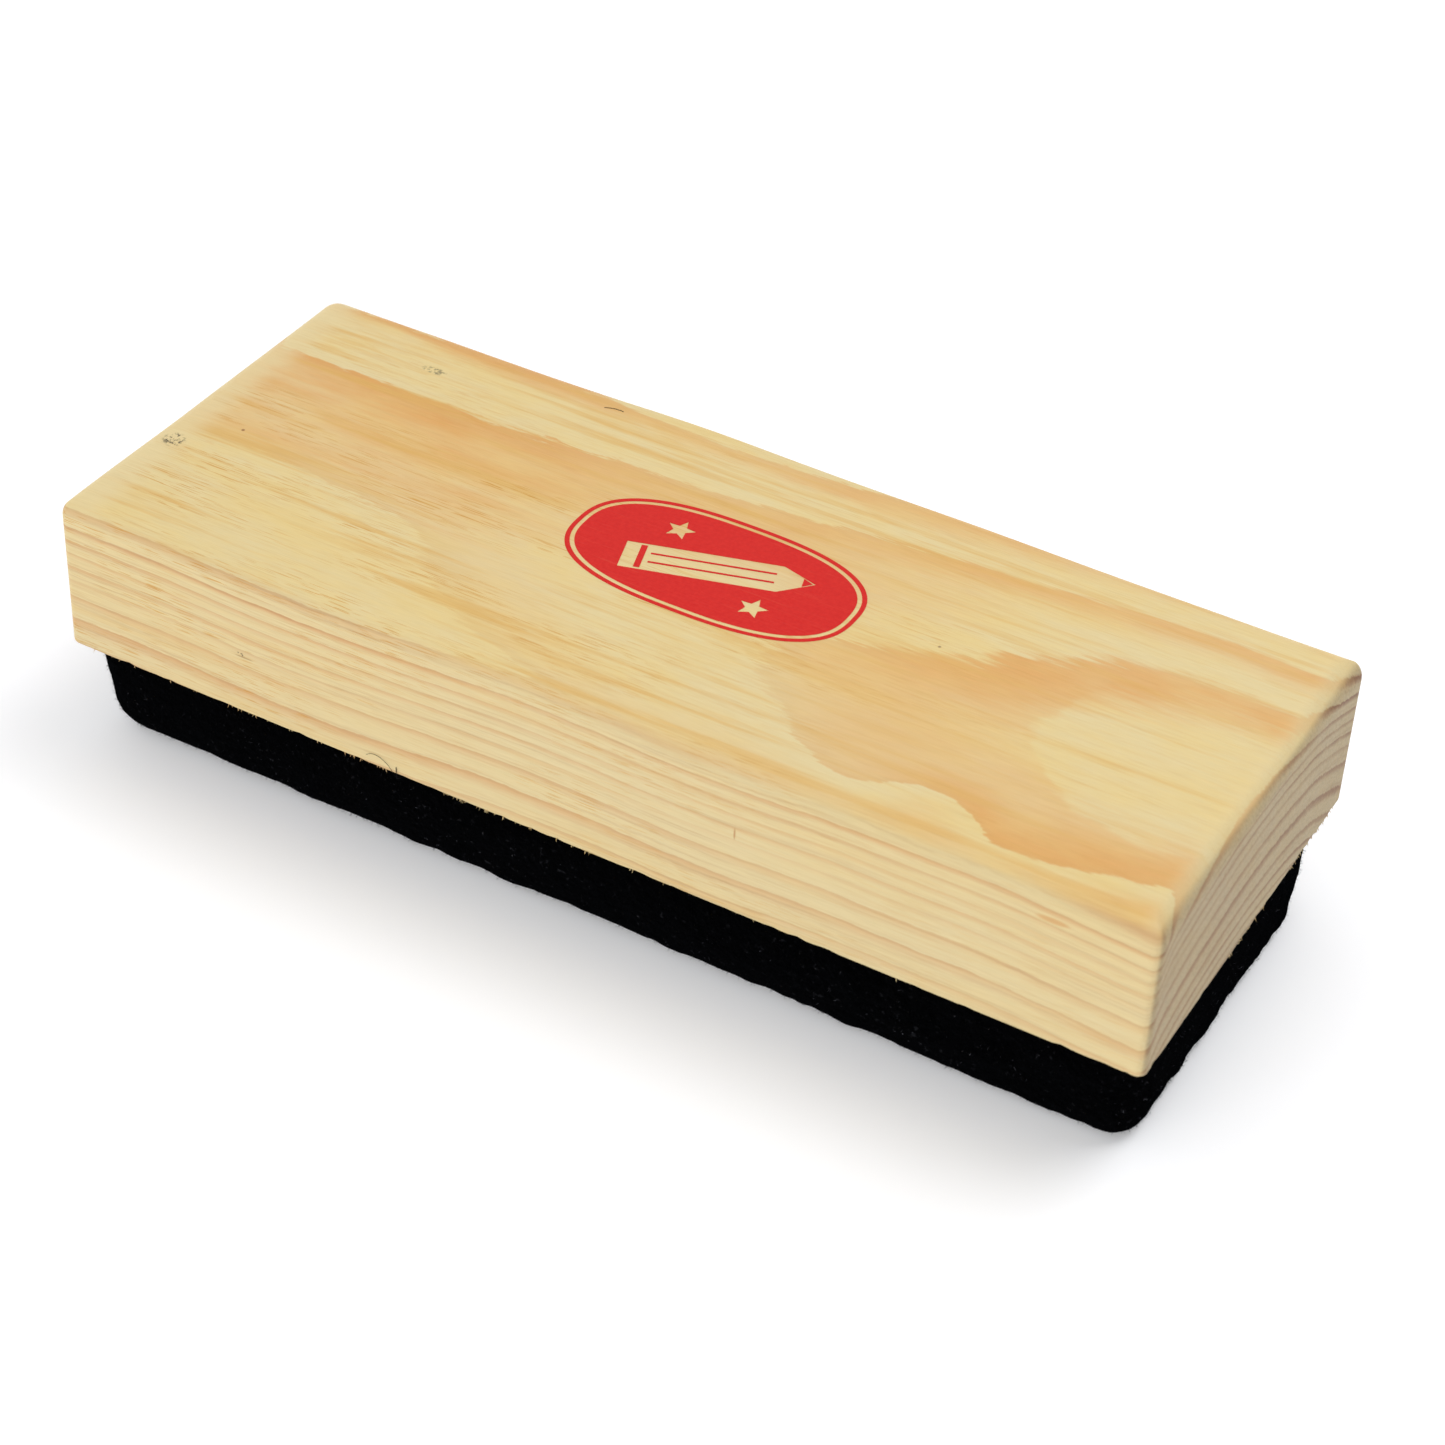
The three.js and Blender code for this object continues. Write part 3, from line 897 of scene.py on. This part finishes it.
def stray_hairs():
    """Two dark hairs that stick out from between the pad and the block, and one on the top of the block."""
    low, high = (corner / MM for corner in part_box("handle_block"))
    pad_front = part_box("felt_cover")[0].y / MM
    front, foot, top = low.y - 0.12, low.z, high.z
    stiff = [
        (-24.4, pad_front, foot - 0.8), (-24.9, front, foot - 0.7), (-25.0, front, foot),
        (-25.0, front, foot + 1.3),
    ]
    curled = [
        (-24.6, pad_front, foot - 0.8), (-25.0, front, foot - 0.6), (-25.5, front, foot + 0.3),
        (-26.3, front, foot + 1.3), (-27.6, front, foot + 2.0), (-28.9, front, foot + 1.9),
        (-29.4, front, foot + 1.4),
    ]
    lying = [(x, y, top + 0.04) for x, y in ((-29.2, 25.2), (-28.0, 25.9), (-26.6, 25.7))]
    curve = bpy.data.curves.new("stray_hairs", "CURVE")
    curve.dimensions = "3D"
    curve.bevel_depth = HAIR_RADIUS
    curve.bevel_resolution = 0
    curve.resolution_u = 6
    curve.use_fill_caps = True
    for path, thickness in ((stiff, 1.0), (curled, 0.45), (lying, 0.7)):
        spline = curve.splines.new("NURBS")
        spline.points.add(len(path) - 1)
        spline.use_endpoint_u = True
        spline.order_u = 3
        for point, place in zip(spline.points, path):
            point.co = (*(Vector(place) * MM), 1)
            point.radius = thickness
    piece = curve_to_mesh(curve)
    dress(piece, felt_material("hair", 0.02, 0.0, 0.0))


def noise_at(values, pitch):
    """Smooth noise at places along a line."""
    return np.array([noise.noise(Vector((value / pitch, 0.5, 0.5))) for value in values])


# ---------------------------------------------------------------- printed emblem


def emblem_outlines():
    """Closed outlines in millimetres, nested so that ink and bare wood take turns: an oval badge with a
    keyline, which holds a slanted pencil and two stars."""
    outlines = [oval(0), oval(0.6), oval(1.15)]
    half, body, tip, slant = 2.7, 8.2, 12.6, math.radians(17)
    pencil = [(-body - 3.4, -half), (body, -half), (tip, 0), (body, half), (-body - 3.4, half)]
    outlines.append(turned(pencil, slant))
    for v in (-half / 3, half / 3):
        groove = [(-body, v - 0.16), (body - 0.6, v - 0.16), (body - 0.6, v + 0.16), (-body, v + 0.16)]
        outlines.append(turned(groove, slant))
    lead = [(tip - 1.6, -0.85), (tip - 0.35, 0), (tip - 1.6, 0.85)]
    outlines.append(turned(lead, slant))
    left, right, reach = -body - 1.5, -body - 0.7, half - 0.35
    ferrule = [(left, -reach), (right, -reach), (right, reach), (left, reach)]
    outlines.append(turned(ferrule, slant))
    outlines.append(star((-7.6, 4.7), 2.0))
    outlines.append(star((7.9, -4.6), 2.0))
    return outlines


def oval(inset):
    """A squarish oval, set in from the emblem's outside."""
    turn = np.linspace(0, 2 * math.pi, 160, endpoint=False)
    power = 2 / 2.6
    u = (EMBLEM_HALF_MM[0] - inset) * np.sign(np.cos(turn)) * np.abs(np.cos(turn)) ** power
    v = (EMBLEM_HALF_MM[1] - inset) * np.sign(np.sin(turn)) * np.abs(np.sin(turn)) ** power
    return list(zip(u, v))


def star(centre, radius):
    """A five-pointed star, with one point up."""
    turn = math.pi / 2 + np.arange(10) * math.pi / 5
    reach = np.where(np.arange(10) % 2 == 0, radius, 0.45 * radius)
    return [(centre[0] + r * math.cos(t), centre[1] + r * math.sin(t)) for r, t in zip(reach, turn)]


def turned(points, angle):
    """Points turned about the emblem's middle."""
    c, s = math.cos(angle), math.sin(angle)
    return [(c * u - s * v, s * u + c * v) for u, v in points]


def emblem():
    """Generic red print on the top of the block: a thin film of ink."""
    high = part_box("handle_block")[1]
    curve = bpy.data.curves.new("red_emblem", "CURVE")
    curve.dimensions = "2D"
    curve.fill_mode = "BOTH"
    curve.extrude = INK_THICKNESS / 2
    for outline in emblem_outlines():
        spline = curve.splines.new("POLY")
        spline.points.add(len(outline) - 1)
        for point, (u, v) in zip(spline.points, outline):
            x, y = (u + EMBLEM_CENTRE_MM[0]) * MM, (v + EMBLEM_CENTRE_MM[1]) * MM
            point.co = (x, y, 0, 1)
        spline.use_cyclic_u = True
    piece = curve_to_mesh(curve)
    piece.data.transform(Matrix.Translation((0, 0, high.z + EMBLEM_LIFT + INK_THICKNESS / 2)))
    dress(piece, ink_material())


def paint(node, material):
    """Gives a CAD node a material, and leaves its mesh alone."""
    for slot in node.material_slots:
        slot.link = "OBJECT"
        slot.material = material


# ---------------------------------------------------------------- studio


def studio():
    """A pale floor that glows a little, two lamps, and a soft sky that is dark beyond the right end."""
    floor = mesh_object("floor", [(-4, -4, 0), (4, -4, 0), (4, 4, 0), (-4, 4, 0)], [(0, 1, 2, 3)])
    floor.location.z = -FLOOR_GAP
    shader = Shader("floor")
    tone = shader.noise(shader.position_mm(), (300, 300, 300), 1.0)
    shade = shader.mix(shader.smooth(tone, -1, 1), (0.86, 0.87, 0.90, 1), (0.87, 0.88, 0.91, 1))
    glow = {"Emission_Color": (1, 1, 1, 1), "Emission_Strength": FLOOR_GLOW}
    floor.data.materials.append(shader.finish(shade, 0.9, Specular_IOR_Level=0.0, **glow))

    world = bpy.data.worlds.new("studio")
    world.use_nodes = True
    bpy.context.scene.world = world
    tree = world.node_tree
    background = tree.nodes["Background"]
    background.inputs["Color"].default_value = (1, 1, 1, 1)
    towards = tree.nodes.new("ShaderNodeVectorMath")
    towards.operation = "DOT_PRODUCT"
    towards.inputs[1].default_value = Vector(SKY_DARK_SIDE).normalized()
    tree.links.new(tree.nodes.new("ShaderNodeTexCoord").outputs["Generated"], towards.inputs[0])
    ramp = tree.nodes.new("ShaderNodeMapRange")
    ramp.interpolation_type = "SMOOTHSTEP"
    for slot, value in enumerate((*SKY_DARK_REACH, SKY_BRIGHT, SKY_DARK), 1):
        ramp.inputs[slot].default_value = value
    tree.links.new(towards.outputs["Value"], ramp.inputs["Value"])
    tree.links.new(ramp.outputs["Result"], background.inputs["Strength"])

    for settings in LAMPS:
        lamp(*settings)


def lamp(name, place, aim, size, power):
    """A square soft box that points at aim."""
    light = bpy.data.lights.new(name, "AREA")
    light.size = size
    light.energy = power
    holder = scene_object(name, light)
    holder.location = place
    holder.rotation_euler = (Vector(aim) - Vector(place)).to_track_quat("-Z", "Y").to_euler()


def camera():
    """A long lens from the front right, above the eraser."""
    low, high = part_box("handle_block")
    azimuth, elevation = CAMERA_AZIMUTH, CAMERA_ELEVATION
    back = Vector((
        math.sin(azimuth) * math.cos(elevation),
        -math.cos(azimuth) * math.cos(elevation),
        math.sin(elevation),
    ))
    level = Vector((math.cos(azimuth), math.sin(azimuth), 0))
    upright = back.cross(level)
    right = level * math.cos(CAMERA_ROLL) - upright * math.sin(CAMERA_ROLL)
    up = level * math.sin(CAMERA_ROLL) + upright * math.cos(CAMERA_ROLL)
    place = (low + high) / 2 + back * CAMERA_DISTANCE
    place += right * CAMERA_SHIFT[0] + up * CAMERA_SHIFT[1]
    data = bpy.data.cameras.new("camera")
    data.lens = CAMERA_LENS_MM
    data.sensor_width = CAMERA_SENSOR_MM
    data.clip_start = 0.01
    data.dof.use_dof = True
    data.dof.aperture_fstop = CAMERA_FSTOP
    focus = scene_object("focus", None)
    focus.location = (low.x / 3, 0, high.z)
    data.dof.focus_object = focus
    holder = scene_object("camera", data)
    axes = Matrix((right, up, back)).transposed()
    holder.matrix_world = Matrix.Translation(place) @ axes.to_4x4()
    bpy.context.scene.camera = holder


# ---------------------------------------------------------------- the scene

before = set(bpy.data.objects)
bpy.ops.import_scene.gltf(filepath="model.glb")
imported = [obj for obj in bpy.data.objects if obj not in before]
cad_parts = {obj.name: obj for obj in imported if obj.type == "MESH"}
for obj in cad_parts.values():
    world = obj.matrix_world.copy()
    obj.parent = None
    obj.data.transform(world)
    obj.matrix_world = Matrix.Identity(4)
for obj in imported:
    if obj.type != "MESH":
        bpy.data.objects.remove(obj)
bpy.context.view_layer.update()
bpy.context.scene.view_settings.view_transform = "Standard"

block = pine_block()
splinters(block)
emblem()
pad = felt_pad()
nap(pad)
stray_hairs()
foam_core()
glue = glue_material()
for node in ("block_glue", "hem_glue"):
    paint(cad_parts[node], glue)
studio()
camera()
